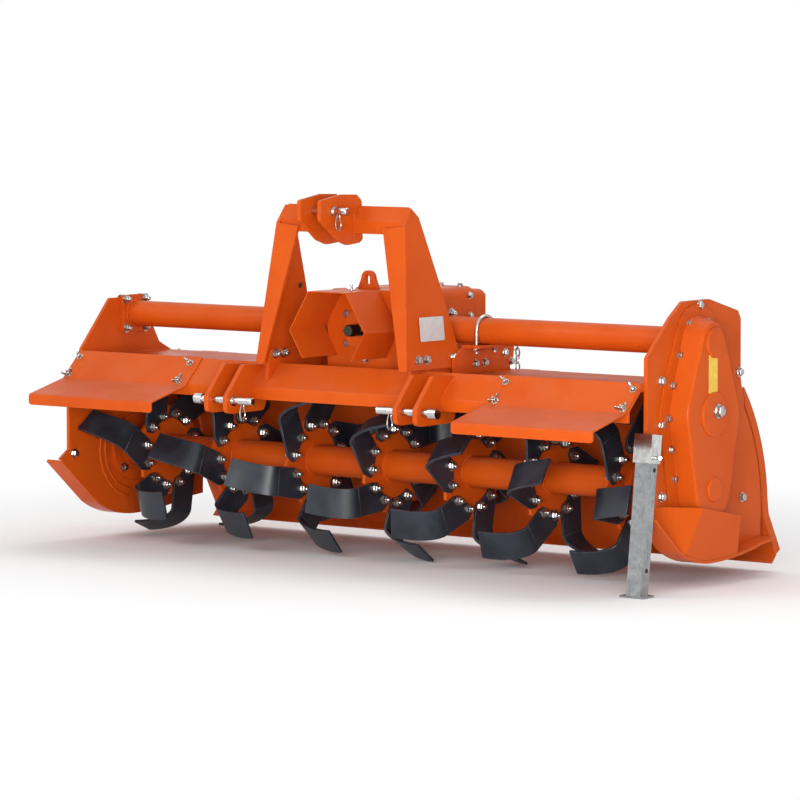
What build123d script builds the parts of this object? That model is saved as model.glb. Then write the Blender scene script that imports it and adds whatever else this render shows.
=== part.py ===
"""Three-point mounted rotary tiller with side gear drive, in millimetres.

+X runs to the gear-drive side, +Y to the rear, +Z up.  While it is built, x = 0 is the
middle of the hitch, y = 0 the rotor axis and z = 0 the floor that the parked machine
stands on.  At the end every piece is moved so that the origin is the bottom centre of
the whole machine.  Outlines are (y, z) points with z counted from the rotor axis.
"""
from build123d import *
from math import atan2, cos, degrees, hypot, radians, sin, sqrt
import os

# ---------------------------------------------------------------- driving dimensions
# Main stations
plate_face_x = 1028          # outer face of each side plate
plate_left_t = 10
plate_right_t = 12
shaft_rise = 402             # cross shaft above the rotor axis
idler_rise = 206             # middle gear axis above the rotor axis
deck_rise = 283              # top of the deck above the rotor axis

# Rotor
rotor_left_gap = 136         # from the left plate to the first flange
rotor_right_gap = 194        # from the last flange to the right plate
flange_count = 7
flange_corner_r = 137
flange_t = 10
rotor_tube_r = 44.45
rotor_tube_wall = 8
rotor_tube_over = 22         # tube past the outer flanges
first_blade_deg = 183.75       # blade direction on the first flange, from +Y towards +Z
helix_step_deg = 14.5        # turn from one flange to the next
blades_per_flange = 6
axle_left_r = 25
axle_right_r = 35
bearing_flange_r = 100
bearing_flange_t = 12
bearing_hub_r = 55
bearing_hub_depth = 46
drive_hub_r = 78
drive_hub_depth = 90
running_clearance = 0.05

# Blades, in the flange's frame: (radial, tangential, sideways) from the rotor axis.
# Each edge of the bent part is a cubic curve through four control points.
blade_t = 8
rear_edge = [(152, -90.5, 0), (177, -110, 0), (188.5, -122, 67), (184, -137, 140)]
lead_edge = [(205, -22.7, 0), (240.5, -50.4, 0), (257.3, -73.6, 69.4), (252.5, -89.6, 147)]
blade_root = [(88, -30), (97, -45), (152, -90.5), (205, -22.7), (131, 45), (101, 51), (86, 36)]
blade_root_hollow = (93, 2)  # the root is hollowed round the rotor axis
left_reach = 130             # sideways reach from the flange's middle
right_reach = 160
blade_stations = 9           # sections along the bend

# Cross tube, gearbox and input
tube_r = 38.05
tube_wall = 6
tube_flange = 112
tube_flange_t = 12
gearbox_half_w = 140
gearbox_front_y = -155
gearbox_rear_y = 170
gearbox_half_h = 113
gearbox_wall = 12
gearbox_foot_inset = 22
cover_depth = 78
cover_inset = 11
input_boss_r = 58
input_boss_front_y = -184
input_bore_depth = 60
input_shaft_r = 17.5
input_shaft_front_y = -238
spline_count = 6
spline_w = 9
spline_depth = 2.6
guard_front_y = -312
guard_x = -17                # middle of the guard
guard_half_flat = 68
guard_half_mid = 137
guard_half_h = 113
guard_open_h = 77            # open below this depth under the shaft
guard_t = 3

# Sheet work round the rotor
deck_t = 5
deck_rear_y = 172
beam_t = 8
beam_top = (-236, 300)
beam_drop = 68               # both ways across the slanted face
beam_lip = 34
board_t = 4
board_range_deg = 50
hinge_y = 190
hinge_drop = 12              # hinge axis below the deck top
hinge_rod_r = 6
knuckle_r = 11
knuckle_w = 60
knuckle_gap = 6
hinge_shares = [-0.875, -0.292, 0.292, 0.817]    # first knuckle of each pair, of plate_face_x
board_lower = [(333, -60), (340, -109), (402, -220), (381, -241)]
board_rim_w = 26
board_rim_t = 4
board_clearance = 6          # to the right plate, also with the board raised
board_swings = [0, 17, 34, 50]
shield_t = 4
shield_w = 475
shield_gap = 1               # to the right plate
shield_fold = (-314, 222)
shield_edge = (-462, 184)
shield_lip = 28
shield_corner_r = 10

# Skids
skid_overhang = 55           # past the outer face of the side plate
skid_t = 8
skid_end = (322, -159)
skid_heel = (255, -165)
skid_low = (0, -195)
skid_nose = (-158, -150.5)
skid_tip = (-311, -21)
right_front_y = -265         # front end of the right skid and plate, behind the stand

# Hitch
hitch_spacing = 683
ear_spacing = 70
ear_t = 15
lower_ear = [(-417, 208), (-413, 166), (-390, 161), (-252, 163), (-239, 184), (-244, 293), (-336, 299)]
lower_ear_corner_r = 13
lower_pin = (-388, 199)
lower_pin_r = 11
lower_pin_inner = 225        # free end, from the middle of the hitch
lower_pin_outer = 409        # where the head begins
lower_head_t = 27
top_head_t = 8
pin_head_r = 15
pin_collar_r = 16
pin_collar_t = 4
pin_chamfer = 2
leg_t = 10
leg_foot_x = 272.5           # outer face of the mast leg at its foot
leg_head_x = 227             # and at its head
leg_foot_rise = 303
leg_head_rise = 757
leg_front = [(-318, 303), (-273, 707)]
leg_rear = [(-239, 757), (-207, 730), (-128, 522), (-77, 365), (-50, 303)]
leg_flange_w = (27, 80)      # front flange at the foot and at the head
mast_foot_t = 12
mast_foot_y = (-285, -45)
mast_foot_rise = 345
mast_foot_corner_r = 16
head_bar = [(-264, 680), (-264, 717), (-236, 757)]
head_bar_t = 8
top_ear_spacing = 73
top_ear_t = 12
top_ear = [(-412, 776), (-316, 791), (-250, 789), (-228, 772), (-223, 662), (-238, 653), (-291, 648),
           (-333, 662), (-412, 722)]
top_ear_corner_r = 9
top_pin = (-353, 745)
top_pin_r = 11
top_pin_span = (-70, 92)

# Tube supports
support_x = 273              # inner face of the upright plate
support_t = 10
support_edge = [(-112, 283), (-112, 330), (-84, 350), (-66, 356), (171, 356), (166, 312), (150, 292),
                (154, 283)]
saddle_y = (-66, 78)
saddle_w = 60
saddle_t = 8
u_bolt_x = 309
u_bolt_r = 5
u_bolt_leg = 62
u_bolt_sides = 12            # the bar is drawn with this many flats

# Gear case on the drive side
case_flange_t = 6
case_depth = 62              # flat face from the side plate
case_flange_r = (104, 175, 138)
case_base_r = (76, 133, 92)
case_face_r = (54, 124, 82)
case_edge_r = 9
case_wall = 7
boss_r = (42, 62, 34)
boss_t = 7
boss_chamfer = 3
guard_top = [(0, -188, -36), (73, -66, -44), (73, 116, -80)]    # out from the plate, y, rise
guard_low = [(0, -240), (51, -146), (51, 130), (0, 215)]        # out from the plate, y
guard_low_rise = -210
guard_sheet_t = 4

# Parking stand
stand_lean = 0.119           # rearward shift per unit of height
stand_foot_y = -318
sleeve_z = (359, 437)
sleeve_wall = 4.6
sleeve_gap = 0.6
leg_w = 47
leg_d = 36
leg_top_z = 425
leg_wall = 4
foot_x = 77
foot_y = 52
foot_t = 6
stand_pin_r = 5
stand_pin_rise = 16          # above the sleeve's lower edge

# Lifting eye on the gearbox
eye_x = -17
eye_y = -120
eye_t = 14
eye_half_w = 36
eye_top_r = 23
eye_rise = 30                # middle of the top round
eye_slot = (17, 30)


def edge_point(controls, share):
    """Point of a cubic curve, share 0 at its start and 1 at its end."""
    rest = 1 - share
    weights = (rest ** 3, 3 * share * rest ** 2, 3 * share ** 2 * rest, share ** 3)
    return Vector(*[sum(w * point[axis] for w, point in zip(weights, controls)) for axis in range(3)])


def station_shares():
    return [i / (blade_stations - 1) for i in range(blade_stations)]


# Heights above the floor: the outermost point of the blades just reaches it
lead_points = [edge_point(lead_edge, share) for share in station_shares()]
rotor_z = max(hypot(point.X, point.Y) for point in lead_points)
shaft_z = rotor_z + shaft_rise
deck_z = rotor_z + deck_rise
inner_left_x = plate_left_t - plate_face_x
inner_right_x = plate_face_x - plate_right_t
first_flange_x = inner_left_x + rotor_left_gap
flange_pitch = (inner_right_x - rotor_right_gap - first_flange_x) / (flange_count - 1)
skid_out_x = plate_face_x + skid_overhang
shield_end_x = inner_right_x - shield_gap
hinge_stations = [share * plate_face_x for share in hinge_shares]
hinge_z = deck_z - hinge_drop


# ---------------------------------------------------------------- small helpers
def up(points):
    """(y, z) points counted from the rotor axis, moved to height above the floor."""
    return [(y, z + rotor_z) for y, z in points]


def along_x(section, x_start, length):
    """Prism along X of a (y, z) face."""
    return extrude(Plane.YZ.offset(x_start) * section, length, dir=(1, 0, 0))


def plate(outline, x_start, thickness):
    """Flat plate across X from a closed (y, z) outline."""
    return along_x(make_face(Polyline(*up(outline), close=True)), x_start, thickness)


def rounded_plate(outline, corner_r, x_start, thickness):
    """The same with every corner of the outline rounded."""
    face = make_face(Polyline(*up(outline), close=True))
    return along_x(fillet(face.vertices(), corner_r), x_start, thickness)


def sheet(path, thickness, x_start, length, side=Side.LEFT):
    """Sheet that runs along X, its thickness on one side of a (y, z) path."""
    return along_x(make_face(offset(path, amount=thickness, side=side)), x_start, length)


def rod_x(x_start, x_end, y, z, radius):
    return Pos((x_start + x_end) / 2, y, z) * Rot(0, 90, 0) * Cylinder(radius, x_end - x_start)


def rod_y(y_start, y_end, x, z, radius):
    return Pos(x, (y_start + y_end) / 2, z) * Rot(90, 0, 0) * Cylinder(radius, y_end - y_start)


def box_at(x, y, z):
    """Box from three (low, high) spans."""
    size = [span[1] - span[0] for span in (x, y, z)]
    middle = [(span[0] + span[1]) / 2 for span in (x, y, z)]
    return Pos(*middle) * Box(*size)


def together(pieces):
    """Separate solids of one node."""
    return Compound([solid for piece in pieces for solid in piece.solids()])


def mirrored(piece, side):
    """The piece itself for the drive side, its mirror image for the other side."""
    return piece if side > 0 else mirror(piece, Plane.YZ)


# ---------------------------------------------------------------- side plates and skids
plate_rear = [(180, 281), (283, 122), (325, -60)]
plate_front = [(-327, -16), (-287, 11)]
left_upper = [(-287, 133), (-262, 232), (-228, 308), (-101, 451), (40, 450), (53, 428),
              (99, 348), (121, 310), (180, 281), (100, 100)]
right_upper = [(-246, 62), (-246, 162), (-231, 168), (-231, 370), (-121, 474), (-62, 515),
               (64, 516), (205, 478), (219, 455), (220, 292), (228, 258), (240, 200), (100, 100)]


def skid_curve():
    """Top surface of the skid, which is also the lower edge of the side plate."""
    end, heel, low, nose, tip = up([skid_end, skid_heel, skid_low, skid_nose, skid_tip])
    return [Line(end, heel), TangentArc(low, heel, tangent=(1, 0)),
            TangentArc(low, nose, tangent=(-1, 0)), Line(nose, tip)]


def side_face(upper):
    """Outline of a side plate as a (y, z) face."""
    rear = up(plate_rear)
    front = up(plate_front)
    end, tip = up([skid_end, skid_tip])
    edges = skid_curve() + [Line(tip, front[0]), Line(front[0], front[1]),
                            Line(front[1], rear[0]), ThreePointArc(*rear), Line(rear[-1], end)]
    return make_face(edges) + make_face(Polyline(front[1], *up(upper), close=True))


def right_front():
    """Everything ahead of the right skid's front end, up to its plate's upper part."""
    return box_at((0, skid_out_x + 1), (right_front_y - 200, right_front_y), (0, rotor_z + right_upper[0][1]))


def side_plate_left():
    body = along_x(side_face(left_upper), -plate_face_x, plate_left_t)
    return body - rod_x(-plate_face_x - 1, inner_left_x + 1, 0, rotor_z, axle_left_r + 8)


def side_plate_right():
    body = along_x(side_face(right_upper), inner_right_x, plate_right_t) - right_front()
    return body - rod_x(inner_right_x - 1, plate_face_x + 1, 0, rotor_z, axle_right_r + 8)


def skid_left():
    return sheet(Wire(skid_curve()), skid_t, -skid_out_x, skid_out_x + inner_left_x)


def skid_right():
    body = sheet(Wire(skid_curve()), skid_t, inner_right_x, skid_out_x - inner_right_x)
    return body - right_front()


# ---------------------------------------------------------------- deck, beam, shields, board
def beam_inner_y(z):
    """Rear surface of the slanted face of the front beam at one height."""
    return beam_top[0] - beam_top[1] - rotor_z + z + beam_t * sqrt(2)


def deck():
    low = deck_z - deck_t
    outline = [(beam_inner_y(deck_z), deck_z), (beam_inner_y(low), low), (deck_rear_y, low),
               (deck_rear_y, deck_z)]
    face = make_face(Polyline(*outline, close=True))
    body = along_x(face, inner_left_x, inner_right_x - inner_left_x)
    for x in hinge_stations:
        body += rod_x(x, x + knuckle_w, hinge_y, hinge_z, knuckle_r)
        body += box_at((x, x + knuckle_w), (deck_rear_y - 1, hinge_y), (low, deck_z))
        body -= rod_x(x - 1, x + knuckle_w + 1, hinge_y, hinge_z, hinge_rod_r)
    return body


def front_beam():
    y, z = beam_top
    points = up([(y, z), (y - beam_drop, z - beam_drop), (y - beam_drop, z - beam_drop - beam_lip)])
    path = FilletPolyline(*points, radius=9)
    return sheet(path, beam_t, inner_left_x, inner_right_x - inner_left_x)


def hinge_rod():
    far_end = hinge_stations[-1] + 2 * knuckle_w + knuckle_gap + 8
    return rod_x(hinge_stations[0] - 8, far_end, hinge_y, hinge_z, hinge_rod_r)


def board_path():
    arc = up([(hinge_y + 12, deck_rise - 18), (291, 122), board_lower[0]])
    return Wire([ThreePointArc(*arc)] + Polyline(*up(board_lower)).edges())


def rear_board():
    path = board_path()
    span = plate_face_x
    body = sheet(path, board_t, -span, 2 * span)
    rim = Wire(path.edges().sort_by(Axis.Y)[1:])
    body += sheet(rim, board_rim_w, -span, board_rim_t)
    body += sheet(rim, board_rim_w, span - board_rim_t, board_rim_t)
    keep_off = offset(side_face(right_upper), amount=board_clearance)
    keep_off = along_x(keep_off, inner_right_x - board_clearance, plate_right_t + 2 * board_clearance)
    hinge = Axis((0, hinge_y, hinge_z), (1, 0, 0))
    for swing in board_swings:
        body -= keep_off.rotate(hinge, -swing)
    leaf = [(hinge_y + 5, hinge_z), (hinge_y + 11, hinge_z), (hinge_y + 24, hinge_z - 26),
            (hinge_y + 18, hinge_z - 26)]
    leaf_face = make_face(Polyline(*leaf, close=True))
    for station in hinge_stations:
        x = station + knuckle_w + knuckle_gap
        body += along_x(leaf_face, x, knuckle_w)
        body += rod_x(x, x + knuckle_w, hinge_y, hinge_z, knuckle_r)
        body -= rod_x(x - 1, x + knuckle_w + 1, hinge_y, hinge_z, hinge_rod_r + running_clearance)
    return body


def shield(side):
    y, z = shield_edge
    points = up([beam_top, shield_fold, shield_edge, (y, z - shield_lip)])
    path = FilletPolyline(*points, radius=5)
    body = sheet(path, shield_t, shield_end_x - shield_w, shield_w, Side.RIGHT)
    corners = body.edges().filter_by(Axis.Y).group_by(Axis.Z)[0]
    return mirrored(fillet(corners, shield_corner_r), side)


# ---------------------------------------------------------------- cross tube and gearbox
def cross_tube(side):
    low = gearbox_half_w
    high = inner_right_x if side > 0 else -inner_left_x
    half = tube_flange / 2
    body = rod_x(low, high, 0, shaft_z, tube_r)
    for x in (low, high - tube_flange_t):
        body += box_at((x, x + tube_flange_t), (-half, half), (shaft_z - half, shaft_z + half))
    body -= rod_x(low - 1, high + 1, 0, shaft_z, tube_r - tube_wall)
    return mirrored(body, side)


def gearbox():
    body = box_at((-gearbox_half_w, gearbox_half_w), (gearbox_front_y, gearbox_rear_y),
                  (shaft_z - gearbox_half_h, shaft_z + gearbox_half_h))
    body = fillet(body.edges().filter_by(Axis.Y).group_by(Axis.Z)[-1], 30)
    half_w = gearbox_half_w - gearbox_wall
    half_h = gearbox_half_h - gearbox_wall
    body -= box_at((-half_w, half_w), (gearbox_front_y + gearbox_wall, gearbox_rear_y - gearbox_wall),
                   (shaft_z - half_h, shaft_z + half_h))
    body += rod_y(input_boss_front_y, input_boss_front_y + input_bore_depth + gearbox_wall, 0, shaft_z,
                  input_boss_r)
    bore_r = input_shaft_r + running_clearance
    return body - rod_y(input_boss_front_y - 1, input_boss_front_y + input_bore_depth, 0, shaft_z, bore_r)


def gearbox_foot():
    """Plate between the gearbox and the deck."""
    half = gearbox_half_w - gearbox_foot_inset
    return box_at((-half, half), (gearbox_front_y, gearbox_rear_y), (deck_z, shaft_z - gearbox_half_h))


def gearbox_cover():
    half_w = gearbox_half_w - cover_inset
    half_h = gearbox_half_h - cover_inset
    body = box_at((-half_w, half_w), (gearbox_rear_y, gearbox_rear_y + cover_depth),
                  (shaft_z - half_h, shaft_z + half_h))
    body = fillet(body.edges().filter_by(Axis.Y), 26)
    body = fillet(body.faces().sort_by(Axis.Y)[-1].edges(), 14)
    return body - box_at((gearbox_wall - half_w, half_w - gearbox_wall),
                         (gearbox_rear_y, gearbox_rear_y + cover_depth - gearbox_wall),
                         (shaft_z - half_h + gearbox_wall, shaft_z + half_h - gearbox_wall))


def input_shaft():
    body = rod_y(input_shaft_front_y, input_boss_front_y + input_bore_depth - 2, 0, shaft_z, input_shaft_r)
    groove_end = input_boss_front_y - 8
    middle = (input_shaft_front_y + groove_end) / 2 - 1
    length = groove_end - input_shaft_front_y + 2
    for i in range(spline_count):
        turned = Pos(0, middle, shaft_z) * Rot(0, i * 360 / spline_count, 0)
        body -= turned * Pos(0, 0, input_shaft_r) * Box(spline_w, length, 2 * spline_depth)
    return body


def hexagon(inset):
    flat = guard_half_flat - inset / 2
    mid = guard_half_mid - inset
    high = guard_half_h - inset
    corners = [(-flat, high), (flat, high), (mid, 0), (flat, -high), (-flat, -high), (-mid, 0)]
    return make_face(Polyline(*corners, close=True))


def input_guard():
    """Six-sided sheet tunnel round the input shaft, open below."""
    plane = Plane(origin=(guard_x, gearbox_front_y, shaft_z), x_dir=(1, 0, 0), z_dir=(0, -1, 0))
    tunnel = extrude(plane * (hexagon(0) - hexagon(guard_t)), gearbox_front_y - guard_front_y)
    low = shaft_z - guard_open_h
    return tunnel - box_at((-400, 400), (guard_front_y - 1, gearbox_front_y + 1), (low - 100, low))


def lifting_eye():
    """Upright lug with a slot on top of the gearbox."""
    foot = make_face(Polyline((-eye_half_w, 0), (eye_half_w, 0), (eye_top_r, eye_rise), (-eye_top_r, eye_rise),
                              close=True))
    outline = foot + Pos(0, eye_rise) * Circle(eye_top_r)
    outline -= Pos(0, eye_rise - 4) * SlotOverall(eye_slot[1], eye_slot[0], rotation=90)
    plane = Plane(origin=(eye_x, eye_y, shaft_z + gearbox_half_h), x_dir=(1, 0, 0), z_dir=(0, -1, 0))
    return extrude(plane * outline, eye_t / 2, both=True)


# ---------------------------------------------------------------- hitch
def lower_ears(side):
    ears = []
    for middle in (hitch_spacing - ear_spacing, hitch_spacing + ear_spacing):
        x = middle / 2
        ear = rounded_plate(lower_ear, lower_ear_corner_r, x - ear_t / 2, ear_t) - front_beam() - deck()
        ear -= rod_x(x - ear_t, x + ear_t, lower_pin[0], rotor_z + lower_pin[1], lower_pin_r)
        ears.append(mirrored(ear, side))
    return together(ears)


def hitch_pin(radius, free_end, ear_face, head_x, head_t, y, z):
    """Pin along X with a chamfered free end, a collar at the ear it leaves and a head."""
    step = 1 if head_x > free_end else -1
    spans = [(free_end, head_x, radius), (ear_face - step * pin_collar_t, ear_face, pin_collar_r),
             (head_x, head_x + step * head_t, pin_head_r)]
    bars = [rod_x(min(a, b), max(a, b), y, z, r) for a, b, r in spans]
    tip = bars[0].edges().filter_by(GeomType.CIRCLE).sort_by(Axis.X)[0 if step > 0 else -1]
    return chamfer(tip, pin_chamfer) + bars[1] + bars[2]


def lower_pin_piece(side):
    y, z = up([lower_pin])[0]
    ear_face = (hitch_spacing - ear_spacing - ear_t) / 2
    body = hitch_pin(lower_pin_r, lower_pin_inner, ear_face, lower_pin_outer, lower_head_t, y, z)
    return mirrored(body, side)


def lean_location():
    """Turns an upright leg inwards about its foot."""
    lean = atan2(leg_foot_x - leg_head_x, leg_head_rise - leg_foot_rise)
    return Pos(leg_foot_x, 0, leg_foot_rise + rotor_z) * Rot(0, -degrees(lean), 0)


def upright_leg():
    """Leg before it leans: outer face at x = 0, foot at z = 0."""
    outline = [(y, z - leg_foot_rise) for y, z in leg_front + leg_rear]
    web = along_x(make_face(Polyline(*outline, close=True)), -leg_t, leg_t)
    foot, head = outline[0], outline[1]
    sections = []
    for (y, z), width in zip((foot, head), leg_flange_w):
        sections.append(Pos(-width / 2, y + leg_t / 2, z) * Rectangle(width, leg_t))
    return web + loft(sections)


def mast_leg(side):
    return mirrored(lean_location() * upright_leg(), side)


def below_top(x_start, length):
    """Everything under the slanted beam and the deck, to trim what stands on them."""
    y, z = beam_top
    edge = beam_t / sqrt(2)
    outline = [(y, z), (y + edge, z - edge), (beam_inner_y(deck_z), deck_rise), (200, deck_rise),
               (200, 0), (y - 200, 0), (y - 200, z - 200)]
    return plate(outline, x_start, length)


def mast_foot(side):
    """Plate on the beam and the deck that the mast leg is bolted to."""
    block = box_at((-leg_t - mast_foot_t, -leg_t), mast_foot_y, (-120, mast_foot_rise - leg_foot_rise))
    block = fillet(block.edges().filter_by(Axis.X).group_by(Axis.Z)[-1], mast_foot_corner_r)
    return mirrored(lean_location() * block - below_top(200, 200), side)


def mast_head_bar():
    """Folded bar between the heads of the legs."""
    path = Polyline(*up(head_bar))
    body = sheet(path, head_bar_t, -400, 800, Side.RIGHT)
    for side in (-1, 1):
        leg = mirrored(lean_location() * upright_leg(), side)
        outside = mirrored(lean_location() * box_at((-leg_t, 300), (-400, 0), (0, 700)), side)
        body = body - leg - outside
    return body.solids().sort_by(SortBy.VOLUME)[-1]


def top_link_ears():
    bar = mast_head_bar()
    ears = []
    for x in (-top_ear_spacing / 2, top_ear_spacing / 2):
        ear = rounded_plate(top_ear, top_ear_corner_r, x - top_ear_t / 2, top_ear_t) - bar
        ear -= rod_x(x - top_ear_t, x + top_ear_t, top_pin[0], rotor_z + top_pin[1], top_pin_r)
        ears.append(ear)
    return together(ears)


def top_link_pin():
    y, z = up([top_pin])[0]
    head_x, free_end = top_pin_span
    return hitch_pin(top_pin_r, free_end, (top_ear_spacing + top_ear_t) / 2, head_x, top_head_t, y, z)


def tube_support(side):
    """Upright plate on the deck with a flange under the cross tube."""
    saddle_top = shaft_z - tube_r
    body = plate(support_edge, support_x, support_t)
    body += box_at((support_x, support_x + saddle_w), saddle_y, (saddle_top - saddle_t, saddle_top))
    for y in (-tube_r - u_bolt_r, tube_r + u_bolt_r):
        body -= Pos(u_bolt_x, y, saddle_top - saddle_t / 2) * Cylinder(u_bolt_r, 2 * saddle_t)
    return mirrored(body, side)


def tube_u_bolt(side):
    """Bar bent over the cross tube, with both legs through the bracket."""
    r = tube_r + u_bolt_r
    line = Line((-r, -u_bolt_leg), (-r, 0)) + ThreePointArc((-r, 0), (0, r), (r, 0))
    line += Line((r, 0), (r, -u_bolt_leg))
    path = Plane(origin=(u_bolt_x, 0, shaft_z), x_dir=(0, 1, 0), z_dir=(1, 0, 0)) * line
    section = Plane(origin=path @ 0, z_dir=path % 0) * RegularPolygon(u_bolt_r, u_bolt_sides)
    return mirrored(sweep(section, path=path), side)


# ---------------------------------------------------------------- gear case
gear_z = [shaft_z, rotor_z + idler_rise, rotor_z]


def pear(radii, grow=0):
    """Outline round the three gear axes, as a (y, z) face."""
    rings = [Pos(0, z) * CenterArc((0, 0), r + grow, 0, 360) for z, r in zip(gear_z, radii)]
    return make_hull(rings)


def case_dome(inset):
    """Tapered box over the gears, widest at the side plate."""
    base = Plane.YZ.offset(plate_face_x) * pear(case_base_r, -inset)
    face = Plane.YZ.offset(plate_face_x + case_depth - inset) * pear(case_face_r, -inset)
    return loft([base.face(), face.face()], ruled=True)


def gear_case():
    outer = case_dome(0)
    body = fillet(outer.faces().sort_by(Axis.X)[-1].edges(), case_edge_r)
    body += along_x(pear(case_flange_r), plate_face_x, case_flange_t)
    body -= case_dome(case_wall)
    face_x = plate_face_x + case_depth
    for z, r in zip(gear_z, boss_r):
        boss = rod_x(face_x - 1, face_x + boss_t, 0, z, r)
        body += chamfer(boss.edges().group_by(Axis.X)[-1], boss_chamfer)
    return body


def guard_block(inset):
    """Solid under the guard's sloping top, smaller by the inset."""
    out, y, rise = guard_top[0]
    slope_y = (guard_top[2][2] - guard_top[1][2]) / (guard_top[2][1] - guard_top[1][1])
    slope_x = (guard_top[1][2] - rise - slope_y * (guard_top[1][1] - y)) / guard_top[1][0]
    corners = [point[:2] for point in guard_top] + [(0, guard_low[3][1])]
    rings = []
    for points, top in ((guard_low, False), (corners, True)):
        ring = []
        for i, (along, across) in enumerate(points):
            along = max(along - inset, 0) if i in (1, 2) else along
            across += inset if i < 2 else -inset
            level = rise + slope_x * along + slope_y * (across - y) if top else guard_low_rise
            ring.append((plate_face_x + along, across, rotor_z + level))
        rings.append(Wire(Polyline(*ring, close=True).edges()))
    return loft([make_face(ring) for ring in rings], ruled=True)


def case_guard():
    """Bent plate on the skid that shields the bottom of the gear case."""
    body = guard_block(0) - guard_block(guard_sheet_t)
    low = make_face(skid_curve() + [Polyline(*up([skid_tip, (skid_tip[0], -300), (skid_end[0], -300),
                                                  skid_end])).wire()])
    return body - along_x(low, plate_face_x - 1, skid_overhang + 60)


# ---------------------------------------------------------------- rotor
def flange_x(i):
    return first_flange_x + i * flange_pitch


def blade_deg(i, k):
    return first_blade_deg + helix_step_deg * i + k * 360 / blades_per_flange


def rotor_frame(i, angle):
    """Plane of one flange: x along the given direction, normal towards +X."""
    a = radians(angle)
    return Plane(origin=(flange_x(i), 0, rotor_z), x_dir=(0, cos(a), sin(a)), z_dir=(1, 0, 0))


def rotor_shaft():
    first = flange_x(0) - rotor_tube_over
    last = flange_x(flange_count - 1) + rotor_tube_over
    body = rod_x(first, last, 0, rotor_z, rotor_tube_r)
    body -= rod_x(first + 14, last - 14, 0, rotor_z, rotor_tube_r - rotor_tube_wall)
    for i in range(flange_count):
        corner = blade_deg(i, 0.5)
        flange = extrude(RegularPolygon(flange_corner_r, 6), flange_t / 2, both=True)
        flange = rotor_frame(i, corner) * flange
        body += flange - rod_x(flange_x(i) - 9, flange_x(i) + 9, 0, rotor_z, rotor_tube_r - 1)
    body += rod_x(inner_left_x - 4, first, 0, rotor_z, axle_left_r)
    body += rod_x(last, inner_right_x + 4, 0, rotor_z, axle_right_r)
    return body


def blade(hand):
    """Flat root and a part that bends sideways; hand is +1 towards the drive side."""
    near = flange_t / 2
    outer = near if hand > 0 else near + blade_t
    reach = right_reach - outer if hand > 0 else left_reach + outer
    sideways = hand * reach / lead_edge[-1][2]
    sections = []
    for share in station_shares():
        rear, lead = edge_point(rear_edge, share), edge_point(lead_edge, share)
        ahead = edge_point(rear_edge, share + 0.01) + edge_point(lead_edge, share + 0.01)
        inward = (ahead - rear - lead).cross(lead - rear).normalized() * blade_t
        ring = []
        for point in (rear, lead, lead + inward, rear + inward):
            ring.append((point.X, point.Y, outer + sideways * point.Z))
        sections.append(make_face(Polyline(*ring, close=True)))
    bend = loft(sections, ruled=True)
    hollow = ThreePointArc(blade_root[-1], blade_root_hollow, blade_root[0])
    root = make_face(Polyline(*blade_root).edges() + [hollow])
    return bend + extrude(Pos(0, 0, near) * root, blade_t)


def blades(hand):
    """All blades bent to one side: every second one round each flange."""
    master = blade(hand)
    first = 0 if hand < 0 else 1
    placed = []
    for i in range(flange_count):
        for k in range(first, blades_per_flange, 2):
            placed.append(rotor_frame(i, blade_deg(i, k)).location * master)
    return together(placed)


def bearing_left():
    x = inner_left_x
    body = rod_x(x, x + bearing_flange_t, 0, rotor_z, bearing_flange_r)
    body += rod_x(x, x + bearing_hub_depth, 0, rotor_z, bearing_hub_r)
    bore_r = axle_left_r + running_clearance
    return body - rod_x(x - 1, x + bearing_hub_depth + 1, 0, rotor_z, bore_r)


def bearing_cap_left():
    return rod_x(-plate_face_x - 14, -plate_face_x, 0, rotor_z, bearing_hub_r)


def drive_hub():
    x = inner_right_x
    body = rod_x(x - drive_hub_depth, x, 0, rotor_z, drive_hub_r)
    bore_r = axle_right_r + running_clearance
    return body - rod_x(x - drive_hub_depth - 1, x + 1, 0, rotor_z, bore_r)


# ---------------------------------------------------------------- stand
sleeve_w = leg_w + 2 * (sleeve_wall + sleeve_gap)
sleeve_d = leg_d + 2 * (sleeve_wall + sleeve_gap)
stand_x = plate_face_x + sleeve_w / 2


def stand_location(z):
    """Station on the leg's axis at a height above the floor, leaning with the leg."""
    lean = degrees(atan2(stand_lean, 1))
    return Pos(stand_x, stand_foot_y + stand_lean * z, z) * Rot(-lean, 0, 0)


def stand_sleeve():
    low, high = sleeve_z
    length = high - low
    hole_w = leg_w + 2 * sleeve_gap
    hole_d = leg_d + 2 * sleeve_gap
    body = Box(sleeve_w, sleeve_d, length) - Box(hole_w, hole_d, length + 2)
    body = stand_location((low + high) / 2) * body
    return body - stand_location(low + stand_pin_rise) * Rot(0, 90, 0) * Cylinder(stand_pin_r, sleeve_w + 2)


def stand_pin():
    """Bent pin seated in both side walls of the sleeve, clear of the leg."""
    half = sleeve_w / 2
    inner = half - sleeve_wall
    bent = FilletPolyline((inner, 0), (half + 14, 0), (half + 30, -22), radius=8)
    path = Plane.XY * bent
    section = Plane(origin=path @ 0, z_dir=path % 0) * Circle(stand_pin_r)
    handle = sweep(section, path=path)
    stub = Pos(-half - 2, 0, 0) * Rot(0, 90, 0) * Cylinder(stand_pin_r, 2 * (half + 2 - inner))
    return stand_location(sleeve_z[0] + stand_pin_rise) * together([handle, stub])


def stand_leg():
    spare = 2 * leg_d            # below the foot, cut off level
    length = leg_top_z + spare
    tube = Box(leg_w, leg_d, length) - Box(leg_w - 2 * leg_wall, leg_d - 2 * leg_wall, length + 2)
    body = stand_location(leg_top_z) * Pos(0, 0, -length / 2) * tube
    below = Pos(stand_x, stand_foot_y, foot_t - spare) * Box(4 * leg_w, 8 * leg_d, 2 * spare)
    return body - below


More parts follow.
